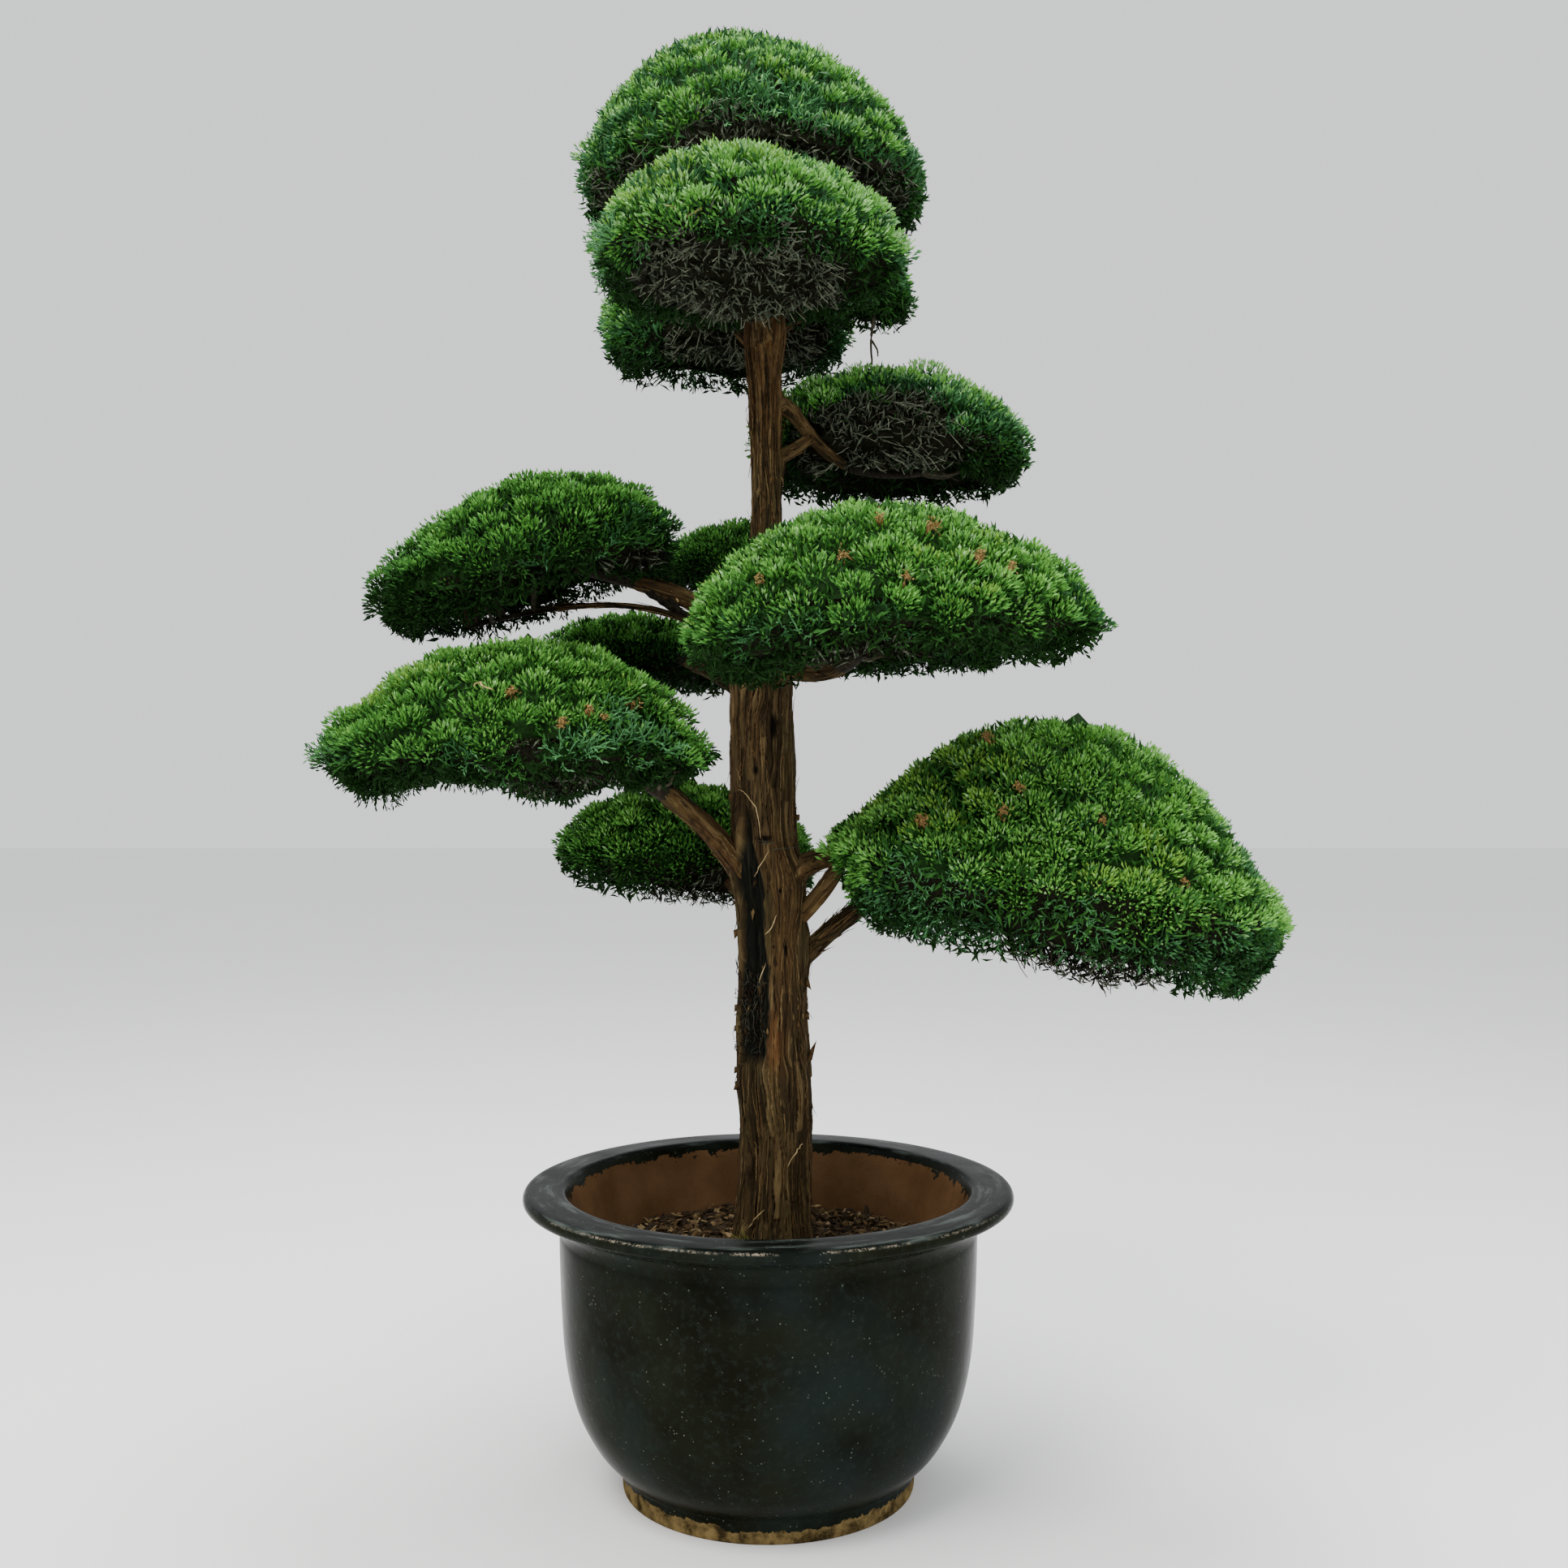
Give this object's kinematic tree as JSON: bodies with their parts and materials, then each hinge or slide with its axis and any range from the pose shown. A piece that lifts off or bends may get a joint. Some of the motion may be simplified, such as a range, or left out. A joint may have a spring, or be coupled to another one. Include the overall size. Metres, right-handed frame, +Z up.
{
  "type": "potted chinese juniper",
  "caption": "Clipped conifer with a straight fibrous trunk, tapering boughs and dense cloud-shaped foliage pads, standing in a wide-rimmed glazed pot filled with bark mulch.",
  "frame": {"origin": "centre of the pot's flat underside", "axes": "+Z up along the trunk, -Y towards the plant's front as pictured, +X to its right"},
  "size_m": [1.7371, 1.1086, 2.7324],
  "materials": {
    "glazed_pot": "gloss",
    "potting_mix": "matte",
    "bark": "matte",
    "foliage": "matte"
  },
  "bodies": {
    "root": {"bough_low_rear": "bark", "bough_lower_left": "bark", "bough_lower_right_lower": "bark", "bough_lower_right_middle": "bark", "bough_lower_right_upper": "bark", "bough_middle_front": "bark", "bough_middle_left": "bark", "bough_middle_left_under": "bark", "bough_middle_rear": "bark", "bough_middle_rear_right": "bark", "bough_rear_left": "bark", "bough_upper_front": "bark", "bough_upper_rear": "bark", "bough_upper_right": "bark", "bough_upper_right_stub": "bark", "bough_upper_side": "bark", "foliage_crown": "foliage", "foliage_low_rear": "foliage", "foliage_lower_left": "foliage", "foliage_lower_right": "foliage", "foliage_middle_front": "foliage", "foliage_middle_left": "foliage", "foliage_middle_rear": "foliage", "foliage_middle_rear_right": "foliage", "foliage_rear_left": "foliage", "foliage_upper_front": "foliage", "foliage_upper_rear": "foliage", "foliage_upper_right": "foliage", "foliage_upper_side": "foliage", "pot": "glazed_pot", "soil": "potting_mix", "trunk": "bark"}
  },
  "joints": []
}
